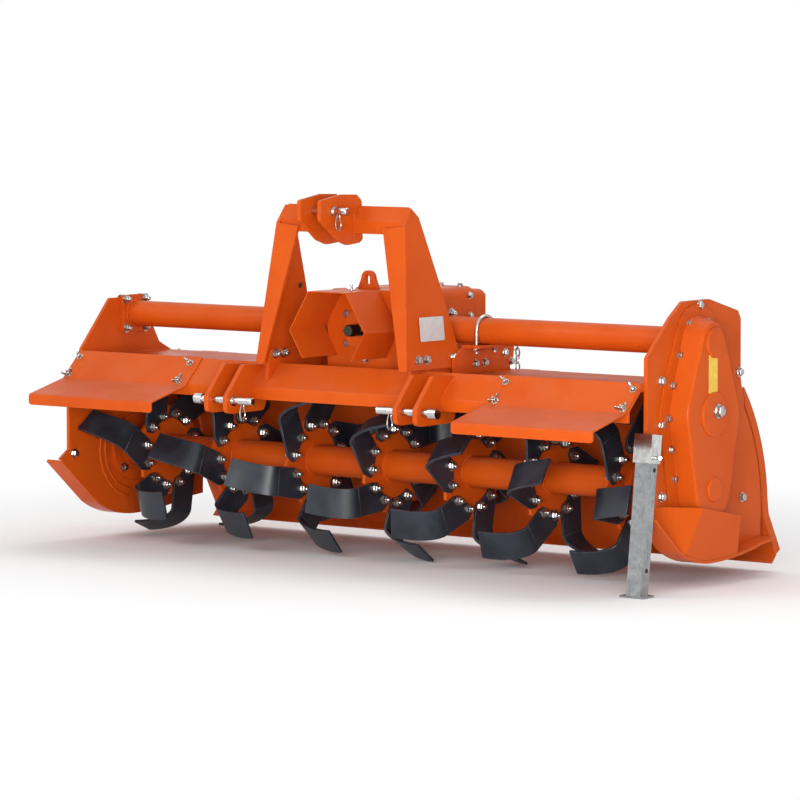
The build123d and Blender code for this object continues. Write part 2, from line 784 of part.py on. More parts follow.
def stand_foot():
    half_x = foot_x / 2
    return box_at((stand_x - half_x, stand_x + half_x),
                  (stand_foot_y - foot_y / 2, stand_foot_y + foot_y / 2), (0, foot_t))


# ---------------------------------------------------------------- all pieces
def all_pieces():
    return {
        "side_plate_left": side_plate_left(),
        "side_plate_right": side_plate_right(),
        "skid_left": skid_left(),
        "skid_right": skid_right(),
        "deck": deck(),
        "front_beam": front_beam(),
        "hinge_rod": hinge_rod(),
        "rear_board": rear_board(),
        "shield_left": shield(-1),
        "shield_right": shield(1),
        "cross_tube_left": cross_tube(-1),
        "cross_tube_right": cross_tube(1),
        "gearbox": gearbox(),
        "gearbox_foot": gearbox_foot(),
        "gearbox_cover": gearbox_cover(),
        "input_shaft": input_shaft(),
        "input_guard": input_guard(),
        "lifting_eye": lifting_eye(),
        "lower_ears_left": lower_ears(-1),
        "lower_ears_right": lower_ears(1),
        "lower_pin_left": lower_pin_piece(-1),
        "lower_pin_right": lower_pin_piece(1),
        "mast_leg_left": mast_leg(-1),
        "mast_leg_right": mast_leg(1),
        "mast_foot_left": mast_foot(-1),
        "mast_foot_right": mast_foot(1),
        "mast_head_bar": mast_head_bar(),
        "top_link_ears": top_link_ears(),
        "top_link_pin": top_link_pin(),
        "tube_support_left": tube_support(-1),
        "tube_support_right": tube_support(1),
        "tube_u_bolt_left": tube_u_bolt(-1),
        "tube_u_bolt_right": tube_u_bolt(1),
        "gear_case": gear_case(),
        "case_guard": case_guard(),
        "rotor_shaft": rotor_shaft(),
        "blades_left_hand": blades(-1),
        "blades_right_hand": blades(1),
        "bearing_left": bearing_left(),
        "bearing_cap_left": bearing_cap_left(),
        "drive_hub": drive_hub(),
        "stand_sleeve": stand_sleeve(),
        "stand_pin": stand_pin(),
        "stand_leg": stand_leg(),
        "stand_foot": stand_foot(),
    }


def main():
    pieces = all_pieces()
    boxes = [piece.bounding_box() for piece in pieces.values()]
    mid_x = (min(box.min.X for box in boxes) + max(box.max.X for box in boxes)) / 2
    mid_y = (min(box.min.Y for box in boxes) + max(box.max.Y for box in boxes)) / 2
    low_z = min(box.min.Z for box in boxes)
    os.makedirs("parts", exist_ok=True)
    for name, piece in pieces.items():
        export_step(Pos(-mid_x, -mid_y, -low_z) * piece, f"parts/{name}.step")
    print("origin", mid_x, mid_y, low_z)


if __name__ == "__main__":
    main()
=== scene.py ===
from math import cos, pi, radians, sin

import bmesh
import bpy
from bpy.props import FloatProperty, FloatVectorProperty, IntProperty, PointerProperty
from mathutils import Matrix, Vector


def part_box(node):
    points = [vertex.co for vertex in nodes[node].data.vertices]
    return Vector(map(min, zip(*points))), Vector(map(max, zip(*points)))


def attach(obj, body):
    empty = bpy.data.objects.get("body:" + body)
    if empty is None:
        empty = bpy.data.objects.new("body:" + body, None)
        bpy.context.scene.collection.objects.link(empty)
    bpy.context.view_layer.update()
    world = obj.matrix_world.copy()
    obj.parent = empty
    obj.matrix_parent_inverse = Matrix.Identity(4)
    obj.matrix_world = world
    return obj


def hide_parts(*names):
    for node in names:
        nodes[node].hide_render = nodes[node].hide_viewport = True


bl_info = {
    "name": "Rotary tiller",
    "version": (1, 0, 0),
    "blender": (4, 5, 0),
    "location": "3D View > Sidebar > Tiller",
    "description": "Dresses a parked rotary tiller with paint, fasteners, welds and clips",
    "category": "Object",
}

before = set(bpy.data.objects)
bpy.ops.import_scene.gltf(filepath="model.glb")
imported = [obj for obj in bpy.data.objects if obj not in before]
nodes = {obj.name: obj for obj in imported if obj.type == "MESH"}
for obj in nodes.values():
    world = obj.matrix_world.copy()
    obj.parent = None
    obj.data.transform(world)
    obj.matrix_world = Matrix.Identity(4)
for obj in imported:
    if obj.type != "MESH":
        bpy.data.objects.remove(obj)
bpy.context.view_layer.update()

# Reference places of the frame, in metres
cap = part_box("bearing_cap_left")
plate_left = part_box("side_plate_left")
plate_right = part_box("side_plate_right")
hitch_x = (plate_left[0].x + plate_right[1].x) / 2
rotor_y = (cap[0].y + cap[1].y) / 2
rotor_z = (cap[0].z + cap[1].z) / 2

# Places in millimetres: right of the hitch, behind the rotor axis, above the rotor axis
IN_LEFT = (plate_left[1].x - hitch_x) * 1000      # inner faces of the side plates
IN_RIGHT = (plate_right[0].x - hitch_x) * 1000
SHAFT_Z = 402                                     # input shaft and cross tubes
IDLER_Z = 206                                     # middle gear
TUBE_ENDS = ((IN_LEFT + 12, 1), (IN_RIGHT - 12, -1), (-152, -1), (152, 1))
TUBE_BOLTS = [(y, z) for y in (-43, 43) for z in (SHAFT_Z - 43, SHAFT_Z + 43)]
BEARING_BOLTS = 82                                # radius of the bearing's bolt circle
EARS = (306.5, 376.5)                             # middles of the lower link plates
EAR_HALF = 7.5
TOP_EARS = (-36.5, 36.5)                          # middles of the top link plates
TOP_EAR_HALF = 6
PLATE_OUT = 1028                                  # outer face of the right side plate
CASE_FLANGE = 1034                                # outer faces of the gear case, from its flange
CASE_FACE = 1090
BOSS_FACE = 1097
BOX_FRONT = -155                                  # faces of the gearbox and its cover's flange
BOX_SIDE = 140
BOX_HALF_HEIGHT = 113
COVER_FLANGE = 148


def spot(x, y, z):
    """Point from millimetres right of the hitch, behind the rotor axis and above it."""
    return Vector((hitch_x + x / 1000, rotor_y + y / 1000, rotor_z + z / 1000))


# ---------------------------------------------------------------- settings
def colour(name, description, value):
    return FloatVectorProperty(name=name, description=description, subtype="COLOR", size=3,
                               min=0, max=1, default=value)


def length(name, description, value):
    return FloatProperty(name=name, description=description, unit="LENGTH", min=0, default=value)


def share(name, description, value):
    return FloatProperty(name=name, description=description, subtype="FACTOR", min=0, max=1,
                         default=value)


def watts(name, description, value):
    return FloatProperty(name=name, description=description + ", in watts", unit="POWER",
                         default=value)


class TillerFinish(bpy.types.PropertyGroup):
    orange: colour("Orange", "Paint of the frame", (0.56, 0.081, 0.006))
    orange_deep: colour("Deep orange", "Paint where the coat is thicker", (0.525, 0.07, 0.005))
    blade: colour("Blades", "Satin paint of the blades", (0.011, 0.0145, 0.021))
    zinc: colour("Zinc", "Plated bolts, nuts and clips", (0.58, 0.57, 0.55))
    galvanised: colour("Galvanised", "Leg and foot of the stand", (0.4, 0.41, 0.42))
    chrome: colour("Bright plate", "Sleeve of the stand and hitch pins", (0.7, 0.7, 0.69))
    shaft: colour("Input shaft", "Oiled steel of the splined end", (0.06, 0.065, 0.05))
    silver: colour("Silver plate", "Blank plate on the mast", (0.55, 0.56, 0.57))
    yellow: colour("Yellow plate", "Blank plate on the gear case", (0.8, 0.5, 0.03))
    # Strength of the painted highlight: lighter orange along the frame's outside edges
    painted_edge_highlight: share("Highlight", "Share of the edges that are rubbed bright", 0.35)
    dust: share("Dust", "Dust on upward faces", 0.08)


class TillerHardware(bpy.types.PropertyGroup):
    blade_bolt: length("Blade bolt", "Width across flats of the blade bolts", 0.021)
    frame_bolt: length("Frame bolt", "Width across flats of the frame bolts", 0.019)
    small_bolt: length("Small bolt", "Width across flats of the cover bolts", 0.015)
    wing_span: length("Wing screw", "Width over the wings of a wing screw", 0.036)
    clip_wire: length("Clip wire", "Radius of the spring clips' wire", 0.0022)
    bead: length("Weld bead", "Radius of a weld bead", 0.0042)
    first_blade: FloatProperty(
        name="First blade", description="Direction of the first blade, in degrees", default=183.75)
    helix_step: FloatProperty(
        name="Helix step", description="Turn from one flange to the next, in degrees", default=14.5)
    flanges: IntProperty(name="Flanges", description="Number of rotor flanges", min=1, default=7)
    blades: IntProperty(name="Blades", description="Blades on each flange", min=1, default=6)


class TillerStudio(bpy.types.PropertyGroup):
    azimuth: FloatProperty(
        name="Azimuth", description="Camera angle right of the front, in degrees", default=38)
    elevation: FloatProperty(
        name="Elevation", description="Camera angle above the horizon, in degrees", default=4.7)
    distance: length("Distance", "Camera distance from its aim", 13.26)
    lens: FloatProperty(name="Lens", description="Focal length, in millimetres", unit="CAMERA",
                        default=207)
    key: watts("Key light", "Strength of the large front light", 122)
    fill: watts("Fill light", "Strength of the light on the drive side", 35)
    top: watts("Top light", "Strength of the overhead light", 66)
    front: watts("Low front light", "Strength of the low light in front", 290)
    sky: FloatProperty(name="Sky", description="Strength of the even light from all round",
                       min=0, default=0.55)


# ---------------------------------------------------------------- mesh helpers
def facing(point, normal, up=Vector((0, 0, 1))):
    """Matrix at a point whose Z axis is the normal and whose X axis lies level with it."""
    z = Vector(normal).normalized()
    side = up.cross(z)
    x = side.normalized() if side.length > 1e-4 else Vector((1, 0, 0))
    turn = Matrix((x, z.cross(x), z)).transposed().to_4x4()
    return Matrix.Translation(point) @ turn


def circle(radius, count, height=0.0):
    """Points round the Z axis."""
    return [Vector((radius * cos(2 * pi * i / count), radius * sin(2 * pi * i / count), height))
            for i in range(count)]


def joined(bm, low, high):
    """Adds the faces between two rings with as many points."""
    for i in range(len(low)):
        j = (i + 1) % len(low)
        bm.faces.new((low[i], low[j], high[j], high[i]))


def turned(bm, place, profile, sides, turn=0.0):
    """Adds a closed shape of rings (radius, height) round the Z axis of a place."""
    rings = []
    for radius, height in profile:
        if radius < 1e-7:
            rings.append([bm.verts.new(place @ Vector((0, 0, height)))])
            continue
        spun = place @ Matrix.Rotation(turn, 4, "Z")
        rings.append([bm.verts.new(spun @ point) for point in circle(radius, sides, height)])
    for low, high in zip(rings, rings[1:]):
        if len(low) == len(high):
            joined(bm, low, high)
            continue
        for i in range(sides):
            j = (i + 1) % sides
            if len(low) == 1:
                bm.faces.new((low[0], high[j], high[i]))
            else:
                bm.faces.new((low[i], low[j], high[0]))


def slab(bm, place, outline, low, high):
    """Adds an outline (x, y) drawn out from one height to another."""
    bottom = [bm.verts.new(place @ Vector((x, y, low))) for x, y in outline]
    top = [bm.verts.new(place @ Vector((x, y, high))) for x, y in outline]
    bm.faces.new(bottom[::-1])
    bm.faces.new(top)
    joined(bm, bottom, top)


def smoothed(points, steps):
    """Points of a smooth curve through the given ones."""
    last = len(points) - 1
    found = []
    for i in range(last):
        a, b, c, d = [points[min(max(i + k, 0), last)] for k in (-1, 0, 1, 2)]
        for k in range(steps):
            t = k / steps
            found.append(0.5 * (2 * b + (c - a) * t + (2 * a - 5 * b + 4 * c - d) * t ** 2
                                + (3 * b - a - 3 * c + d) * t ** 3))
    return found + [points[-1]]


def rod(bm, points, radii, sides=8, closed=False):
    """Adds a round bar along points, with one radius at each."""
    side = None
    rings = []
    count = len(points)
    for i, point in enumerate(points):
        ahead = points[(i + 1) % count] if closed else points[min(i + 1, count - 1)]
        behind = points[i - 1] if closed or i else points[0]
        along = (ahead - behind).normalized()
        if side is None:
            side = along.orthogonal().normalized()
        side = (side - along * side.dot(along)).normalized()
        over = along.cross(side)
        rings.append([bm.verts.new(point + radii[i] * (side * cos(a) + over * sin(a)))
                      for a in (2 * pi * k / sides for k in range(sides))])
    pairs = list(zip(rings, rings[1:])) + ([(rings[-1], rings[0])] if closed else [])
    for low, high in pairs:
        joined(bm, low, high)
    if not closed:
        bm.faces.new(rings[0][::-1])
        bm.faces.new(rings[-1])


def piece(name, bm, material, body, bevel=0.0004):
    """Makes one object of a finished mesh and lets it ride on its body."""
    bmesh.ops.recalc_face_normals(bm, faces=bm.faces)
    mesh = bpy.data.meshes.new(name)
    bm.to_mesh(mesh)
    bm.free()
    mesh.polygons.foreach_set("use_smooth", [True] * len(mesh.polygons))
    mesh.set_sharp_from_angle(angle=radians(32))
    mesh.materials.append(material)
    obj = bpy.data.objects.new(name, mesh)
    bpy.context.scene.collection.objects.link(obj)
    if bevel:
        rounding = obj.modifiers.new("rounding", "BEVEL")
        rounding.width = bevel
        rounding.segments = 1
        rounding.limit_method = "ANGLE"
        rounding.angle_limit = radians(40)
    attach(obj, body)
    return obj


def zinc_piece(name, bm, body="frame", bevel=0):
    return piece(name, bm, materials()["zinc_plate"], body, bevel)


def painted_piece(name, bm, body="frame"):
    return piece(name, bm, materials()["frame_orange"], body, 0)


def hexagon_head(bm, place, flats, height, turn=0.0):
    """Hexagon with its outer corners turned off."""
    r = flats / 3 ** 0.5
    profile = [(0, 0), (r, 0), (r, height * 0.84), (r * 0.87, height), (0, height)]
    turned(bm, place, profile, 6, turn)


def washer(bm, place, radius, height):
    turned(bm, place, [(0, 0), (radius, 0), (radius, height), (0, height)], 20)


def bolt(bm, place, flats, turn=0.0):
    """Washer and bolt head on a face."""
    washer(bm, place, flats * 0.72, flats * 0.12)
    on_washer = place @ Matrix.Translation((0, 0, flats * 0.12))
    hexagon_head(bm, on_washer, flats, flats * 0.5, turn)
    top = flats * 0.5
    turned(bm, on_washer, [(0, top), (flats * 0.3, top), (flats * 0.28, top + flats * 0.02),
                           (0, top + flats * 0.02)], 12)


def nut(bm, place, flats, turn=0.0, spare=0.35):
    """Washer, lock nut with its collar, and the threaded end that stands out of it."""
    washer(bm, place, flats * 0.74, flats * 0.12)
    on_washer = place @ Matrix.Translation((0, 0, flats * 0.12))
    hexagon_head(bm, on_washer, flats, flats * 0.46, turn)
    collar = flats * 0.46
    low = collar + flats * 0.17
    turned(bm, on_washer, [(0, collar), (flats * 0.42, collar), (flats * 0.4, flats * 0.6),
                           (flats * 0.33, low), (0, low)], 16)
    thread = []
    pitch = flats * 0.075
    turns = max(int(flats * spare / pitch), 1)
    for i in range(turns):
        thread += [(flats * 0.285, low + i * pitch), (flats * 0.31, low + (i + 0.5) * pitch)]
    thread += [(flats * 0.25, low + turns * pitch), (0, low + turns * pitch)]
    turned(bm, on_washer, thread, 12)


# ---------------------------------------------------------------- shared shader groups
def group(name, inputs, outputs):
    """Empty shader node group with number inputs (name, default) and outputs (name, type)."""
    tree = bpy.data.node_groups.new(name, "ShaderNodeTree")
    for label, value in inputs:
        socket = tree.interface.new_socket(label, in_out="INPUT", socket_type="NodeSocketFloat")
        socket.default_value = value
    for label, kind in outputs:
        tree.interface.new_socket(label, in_out="OUTPUT", socket_type=kind)
    return tree, tree.nodes.new("NodeGroupInput"), tree.nodes.new("NodeGroupOutput")


def add(tree, kind, settings=(), **values):
    """Adds a node, sets its properties and links or fills its inputs."""
    made = tree.nodes.new(kind)
    for name, value in dict(settings).items():
        setattr(made, name, value)
    for key, value in values.items():
        by_place = key[0] == "i" and key[1:].isdigit()
        socket = made.inputs[int(key[1:]) if by_place else key]
        if isinstance(value, bpy.types.NodeSocket):
            tree.links.new(value, socket)
        else:
            socket.default_value = value
    return made


def sum_of(tree, operation, first, second, clamp=False):
    """Output of a Math node."""
    return add(tree, "ShaderNodeMath", {"operation": operation, "use_clamp": clamp},
               i0=first, i1=second).outputs[0]


def noise(tree, vector, scale, detail=3.0, roughness=0.5):
    return add(tree, "ShaderNodeTexNoise", Vector=vector, Scale=scale, Detail=detail,
               Roughness=roughness).outputs["Fac"]


def span(tree, value, low, high, to_low=0.0, to_high=1.0):
    """Smooth step of a value from one range to another."""
    return add(tree, "ShaderNodeMapRange", {"interpolation_type": "SMOOTHSTEP"},
               i0=value, i1=low, i2=high, i3=to_low, i4=to_high).outputs[0]


def object_place(tree):
    return add(tree, "ShaderNodeTexCoord").outputs["Object"]


def edge_group():
    """Mask of outside edges, broken up by noise: a painted highlight on the orange frame, rubbed
    wear on the blades.
    """
    tree, given, result = group("rubbed_edges", [("Width", 0.002), ("Breakup", 90.0)],
                                [("Mask", "NodeSocketFloat")])
    where = object_place(tree)
    soft = add(tree, "ShaderNodeBevel", {"samples": 4}, Radius=given.outputs["Width"]).outputs[0]
    flat = add(tree, "ShaderNodeNewGeometry").outputs["Normal"]
    match = add(tree, "ShaderNodeVectorMath", {"operation": "DOT_PRODUCT"},
                i0=soft, i1=flat).outputs["Value"]
    edge = span(tree, match, 0.985, 0.9)
    patches = span(tree, noise(tree, where, given.outputs["Breakup"], 4.0, 0.65), 0.42, 0.62)
    tree.links.new(sum_of(tree, "MULTIPLY", edge, patches), result.inputs["Mask"])
    return tree


def dust_group():
    """Mask of dust that settles on upward faces."""
    tree, given, result = group("settled_dust", [("Scale", 14.0)], [("Mask", "NodeSocketFloat")])
    where = object_place(tree)
    normal = add(tree, "ShaderNodeNewGeometry").outputs["Normal"]
    upward = add(tree, "ShaderNodeSeparateXYZ", Vector=normal).outputs["Z"]
    level = span(tree, upward, 0.35, 0.95)
    cloud = span(tree, noise(tree, where, given.outputs["Scale"], 5.0, 0.6), 0.35, 0.7)
    tree.links.new(sum_of(tree, "MULTIPLY", level, cloud), result.inputs["Mask"])
    return tree


def coat_group():
    """Relief of a sprayed coat, fine ripples over slow waves, and a slow shade."""
    tree, given, result = group("sprayed_coat", [("Ripple", 420.0), ("Wave", 9.0)],
                                [("Height", "NodeSocketFloat"), ("Shade", "NodeSocketFloat")])
    where = object_place(tree)
    ripple = noise(tree, where, given.outputs["Ripple"], 2.0, 0.45)
    wave = noise(tree, where, given.outputs["Wave"], 3.0, 0.5)
    low = sum_of(tree, "MULTIPLY", wave, 0.7)
    both = add(tree, "ShaderNodeMath", {"operation": "MULTIPLY_ADD"}, i0=ripple, i1=0.3, i2=low)
    tree.links.new(both.outputs[0], result.inputs["Height"])
    tree.links.new(span(tree, wave, 0.36, 0.66), result.inputs["Shade"])
    return tree


def streak_group():
    """Streaks along one direction, for drawn, galvanised or ground metal."""
    tree, given, result = group("drawn_streaks", [("Along", 6.0), ("Across", 160.0)],
                                [("Value", "NodeSocketFloat")])
    where = object_place(tree)
    size = add(tree, "ShaderNodeCombineXYZ", X=given.outputs["Across"], Y=given.outputs["Across"],
               Z=given.outputs["Along"]).outputs[0]
    scaled = add(tree, "ShaderNodeVectorMath", {"operation": "MULTIPLY"},
                 i0=where, i1=size).outputs[0]
    tree.links.new(noise(tree, scaled, 1.0, 5.0, 0.62), result.inputs["Value"])
    return tree


def use(tree, shared, **values):
    """Places a shared group in a material."""
    made = tree.nodes.new("ShaderNodeGroup")
    made.node_tree = bpy.data.node_groups[shared]
    for name, value in values.items():
        made.inputs[name].default_value = value
    return made.outputs


def start_material(name, **constants):
    """New material, its node tree and its shader with plain values set."""
    mat = bpy.data.materials.new(name)
    mat.use_nodes = True
    shader = mat.node_tree.nodes["Principled BSDF"]
    for key, value in constants.items():
        shader.inputs[key.replace("_", " ")].default_value = value
    return mat, mat.node_tree, shader


def mix(tree, factor, first, second):
    """Colour between two others."""
    return add(tree, "ShaderNodeMix", {"data_type": "RGBA"},
               i0=factor, i6=first, i7=second).outputs[2]


def rgba(value, scale=1.0):
    return (value[0] * scale, value[1] * scale, value[2] * scale, 1)


def feed(tree, shader, base, roughness=None, height=None, depth=0.0005, soft_edge=0.0):
    """Links finished values to a shader, with its edges shaded round where a radius is given."""
    tree.links.new(base, shader.inputs["Base Color"])
    if roughness is not None:
        tree.links.new(roughness, shader.inputs["Roughness"])
    if height is not None:
        bump = add(tree, "ShaderNodeBump", Height=height, Strength=0.6, Distance=depth)
        if soft_edge:
            rounded = add(tree, "ShaderNodeBevel", {"samples": 4}, Radius=soft_edge)
            tree.links.new(rounded.outputs[0], bump.inputs["Normal"])
        tree.links.new(bump.outputs[0], shader.inputs["Normal"])


def orange_paint(finish):
    """Sprayed satin orange, deeper where it is thick, with a painted highlight of lighter orange
    along the edges.
    """
    mat, tree, shader = start_material("frame_orange", Specular_IOR_Level=0.12)
    coat = use(tree, "sprayed_coat", Ripple=380.0, Wave=5.0)
    edges = use(tree, "rubbed_edges", Width=0.0025, Breakup=60.0)["Mask"]
    dust = use(tree, "settled_dust", Scale=9.0)["Mask"]
    base = mix(tree, coat["Shade"], rgba(finish.orange), rgba(finish.orange_deep))
    # Painted highlight: the outside edges are mixed towards a lighter orange
    light = sum_of(tree, "MULTIPLY", edges, finish.painted_edge_highlight)
    base = mix(tree, light, base, rgba((0.85, 0.22, 0.04)))
    powder = sum_of(tree, "MULTIPLY", dust, finish.dust)
    base = mix(tree, powder, base, rgba((0.42, 0.33, 0.25)))
    rough = span(tree, coat["Shade"], 0.0, 1.0, 0.3, 0.4)
    rough = sum_of(tree, "ADD", rough, powder, clamp=True)
    feed(tree, shader, base, rough, coat["Height"], 0.0003, 0.003)
    return mat


def blade_paint(finish):
    """Dark satin paint with fine scuffs and bright rubbed edges."""
    mat, tree, shader = start_material("blade_satin", Specular_IOR_Level=0.42)
    coat = use(tree, "sprayed_coat", Ripple=600.0, Wave=14.0)
    edges = use(tree, "rubbed_edges", Width=0.0015, Breakup=120.0)["Mask"]
    scuffs = use(tree, "drawn_streaks", Along=30.0, Across=240.0)["Value"]
    scuff = span(tree, scuffs, 0.66, 0.78)
    base = mix(tree, coat["Shade"], rgba(finish.blade), rgba(finish.blade, 1.7))
    rub = sum_of(tree, "MULTIPLY", edges, 0.5)
    base = mix(tree, rub, base, rgba((0.2, 0.2, 0.21)))
    mark = sum_of(tree, "MULTIPLY", scuff, 0.14)
    base = mix(tree, mark, base, rgba((0.22, 0.22, 0.22)))
    rough = span(tree, coat["Shade"], 0.0, 1.0, 0.3, 0.42)
    feed(tree, shader, base, rough, coat["Height"], 0.0002)
    return mat


def plated(name, value, rough_low, rough_high, streak_along, streak_across, depth):
    """Metal with drawn streaks in its colour, gloss and relief."""
    mat, tree, shader = start_material(name, Metallic=1.0)
    streaks = use(tree, "drawn_streaks", Along=streak_along, Across=streak_across)["Value"]
    cloud = noise(tree, object_place(tree), 55.0, 4.0, 0.6)
    base = mix(tree, span(tree, cloud, 0.3, 0.7), rgba(value), rgba(value, 0.72))
    base = mix(tree, span(tree, streaks, 0.45, 0.75, 0.0, 0.5), base, rgba(value, 0.5))
    rough = span(tree, streaks, 0.3, 0.7, rough_low, rough_high)
    feed(tree, shader, base, rough, streaks, depth)
    return mat


def blank_label(name, value):
    """Printed metal plate with nothing on it, slightly mottled."""
    mat, tree, shader = start_material(name, Coat_Weight=0.3, Coat_Roughness=0.2)
    cloud = noise(tree, object_place(tree), 40.0, 4.0, 0.6)
    base = mix(tree, span(tree, cloud, 0.3, 0.7), rgba(value), rgba(value, 0.86))
    feed(tree, shader, base, span(tree, cloud, 0.3, 0.7, 0.28, 0.42), cloud, 0.0001)
    return mat


def painted_hole_shade():
    """Painted shade: dark colour that stands for the shaded inside of a hole."""
    mat, tree, shader = start_material("hole", Roughness=0.8)
    cloud = noise(tree, object_place(tree), 60.0)
    # Painted shade: near-black colour of the hole's shaded inside
    feed(tree, shader, mix(tree, cloud, rgba((0.01, 0.006, 0.004)), rgba((0.03, 0.015, 0.01))))
    return mat


def materials():
    """All finishes by name, made once."""
    if "frame_orange" not in bpy.data.materials:
        finish = bpy.context.scene.tiller_finish
        for build in (edge_group, dust_group, coat_group, streak_group):
            build()
        orange_paint(finish)
        blade_paint(finish)
        plated("zinc_plate", finish.zinc, 0.2, 0.38, 60.0, 160.0, 0.0001)
        plated("galvanised", finish.galvanised, 0.16, 0.32, 5.0, 130.0, 0.0001)
        plated("bright_plate", finish.chrome, 0.1, 0.24, 8.0, 220.0, 0.00005)
        plated("shaft_steel", finish.shaft, 0.28, 0.45, 200.0, 60.0, 0.0001)
        blank_label("silver_plate", finish.silver)
        blank_label("yellow_plate", finish.yellow)
        painted_hole_shade()
    return bpy.data.materials


BLADE_NODES = ("blades_left_hand", "blades_right_hand")
GALVANISED_NODES = ("stand_leg", "stand_foot")
BRIGHT_NODES = ("stand_sleeve", "lower_pin_left", "lower_pin_right", "top_link_pin")
ZINC_NODES = ("stand_pin", "tube_u_bolt_left", "tube_u_bolt_right", "hinge_rod")


class TILLER_OT_paint(bpy.types.Operator):
    """Gives every solid of the frame its finish"""
    bl_idname = "tiller.paint"
    bl_label = "Paint"

    def execute(self, context):
        mats = materials()
        finishes = {"blade_satin": BLADE_NODES, "galvanised": GALVANISED_NODES,
                    "bright_plate": BRIGHT_NODES, "zinc_plate": ZINC_NODES}
        chosen = {node: name for name, group_nodes in finishes.items() for node in group_nodes}
        for name, obj in nodes.items():
            obj.data.materials.clear()
            obj.data.materials.append(mats[chosen.get(name, "frame_orange")])
        return {"FINISHED"}


# ---------------------------------------------------------------- rotor
FLANGE_HALF = 0.005
BLADE_THICK = 0.008
BLADE_BOLTS = ((0.103, 0.027), (0.103, -0.027))
# Blade edges in the flange's frame, in millimetres: cubic curves (outward, forward, sideways)
REAR_EDGE = ((152, -90.5, 0), (177, -110, 0), (188.5, -122, 67), (184, -137, 140))
LEAD_EDGE = ((205, -22.7, 0), (240.5, -50.4, 0), (257.3, -73.6, 69.4), (252.5, -89.6, 147))
ROOT = ((97, -45), (152, -90.5), (205, -22.7), (131, 45), (101, 51))
ROOT_ARC = (93.1, 22.5, -19)     # hollow of the root: radius, first and last direction
REACH = {-1: 130, 1: 160}        # sideways reach of each hand from the flange's middle
STATIONS = 26


def flange_places(ware):
    """X of each rotor flange."""
    first = plate_left[1].x + 0.136
    last = plate_right[0].x - 0.194
    return [first + i * (last - first) / (ware.flanges - 1) for i in range(ware.flanges)]


def blade_angle(ware, flange, k):
    """Direction of one blade of one flange."""
    return radians(ware.first_blade + ware.helix_step * flange + k * 360 / ware.blades)


def edge_point(controls, along):
    """Point of a cubic curve."""
    rest = 1 - along
    weights = (rest ** 3, 3 * along * rest ** 2, 3 * along ** 2 * rest, along ** 3)
    return sum((w * Vector(point) for w, point in zip(weights, controls)), Vector())


def blade_sections(hand):
    """Rings of the bent part: rear and leading edge, outside and inside, in metres."""
    near = FLANGE_HALF * 1000
    thick = BLADE_THICK * 1000
    outer = near if hand > 0 else near + thick
    reach = REACH[hand] - outer if hand > 0 else REACH[hand] + outer
    sideways = hand * reach / LEAD_EDGE[-1][2]
    rings = []
    for i in range(STATIONS):
        along = i / (STATIONS - 1)
        rear, lead = edge_point(REAR_EDGE, along), edge_point(LEAD_EDGE, along)
        ahead = edge_point(REAR_EDGE, along + 0.01) + edge_point(LEAD_EDGE, along + 0.01)
        inward = (ahead - rear - lead).cross(lead - rear).normalized() * thick
        rings.append([Vector((point.x, point.y, outer + sideways * point.z)) / 1000
                      for point in (rear, lead, lead + inward, rear + inward)])
    return rings


def blade(bm, place, rings):
    """Flat root with a hollow towards the shaft, and the part that bends sideways."""
    radius, first, last = ROOT_ARC
    hollow = [(radius * cos(radians(first + (last - first) * i / 8)),
               radius * sin(radians(first + (last - first) * i / 8))) for i in range(9)]
    outline = [(x / 1000, y / 1000) for x, y in (*ROOT, *hollow)]
    slab(bm, place, outline, FLANGE_HALF, FLANGE_HALF + BLADE_THICK)
    made = [[bm.verts.new(place @ point) for point in ring] for ring in rings]
    for low, high in zip(made, made[1:]):
        joined(bm, low, high)
    bm.faces.new(made[0][::-1])
    bm.faces.new(made[-1])


class TILLER_OT_blades(bpy.types.Operator):
    """Curved blades, every second one bent to the other side"""
    bl_idname = "tiller.blades"
    bl_label = "Blades"

    def execute(self, context):
        ware = context.scene.tiller_hardware
        for hand, node in ((-1, "blades_left_hand"), (1, "blades_right_hand")):
            bm = bmesh.new()
            rings = blade_sections(hand)
            for i, x in enumerate(flange_places(ware)):
                for k in range(0 if hand < 0 else 1, ware.blades, 2):
                    a = blade_angle(ware, i, k)
                    out = Vector((0, cos(a), sin(a)))
                    across = Vector((0, -sin(a), cos(a)))
                    turn = Matrix((out, across, Vector((1, 0, 0)))).transposed().to_4x4()
                    blade(bm, Matrix.Translation((x, rotor_y, rotor_z)) @ turn, rings)
            made = piece(node.replace("blades", "curved_blades"), bm, materials()["blade_satin"],
                         "rotor", 0.0008)
            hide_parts(node)
        return {"FINISHED"}


class TILLER_OT_blade_bolts(bpy.types.Operator):
    """Two bolts with lock nuts through each blade and its flange"""
    bl_idname = "tiller.blade_bolts"
    bl_label = "Blade bolts"

    def execute(self, context):
        ware = context.scene.tiller_hardware
        heads = bmesh.new()
        nuts = bmesh.new()
        for i, x in enumerate(flange_places(ware)):
            for k in range(ware.blades):
                a = blade_angle(ware, i, k)
                for n, (out, across) in enumerate(BLADE_BOLTS):
                    y = rotor_y + out * cos(a) - across * sin(a)
                    z = rotor_z + out * sin(a) + across * cos(a)
                    turn = 0.7 * i + 1.3 * k + 0.5 * n
                    near, far = (x - FLANGE_HALF, y, z), (x + FLANGE_HALF + BLADE_THICK, y, z)
                    bolt(heads, facing(near, (-1, 0, 0)), ware.blade_bolt, turn)
                    nut(nuts, facing(far, (1, 0, 0)), ware.blade_bolt, turn)
        zinc_piece("blade_bolt_heads", heads, "rotor")
        zinc_piece("blade_bolt_nuts", nuts, "rotor")
        return {"FINISHED"}


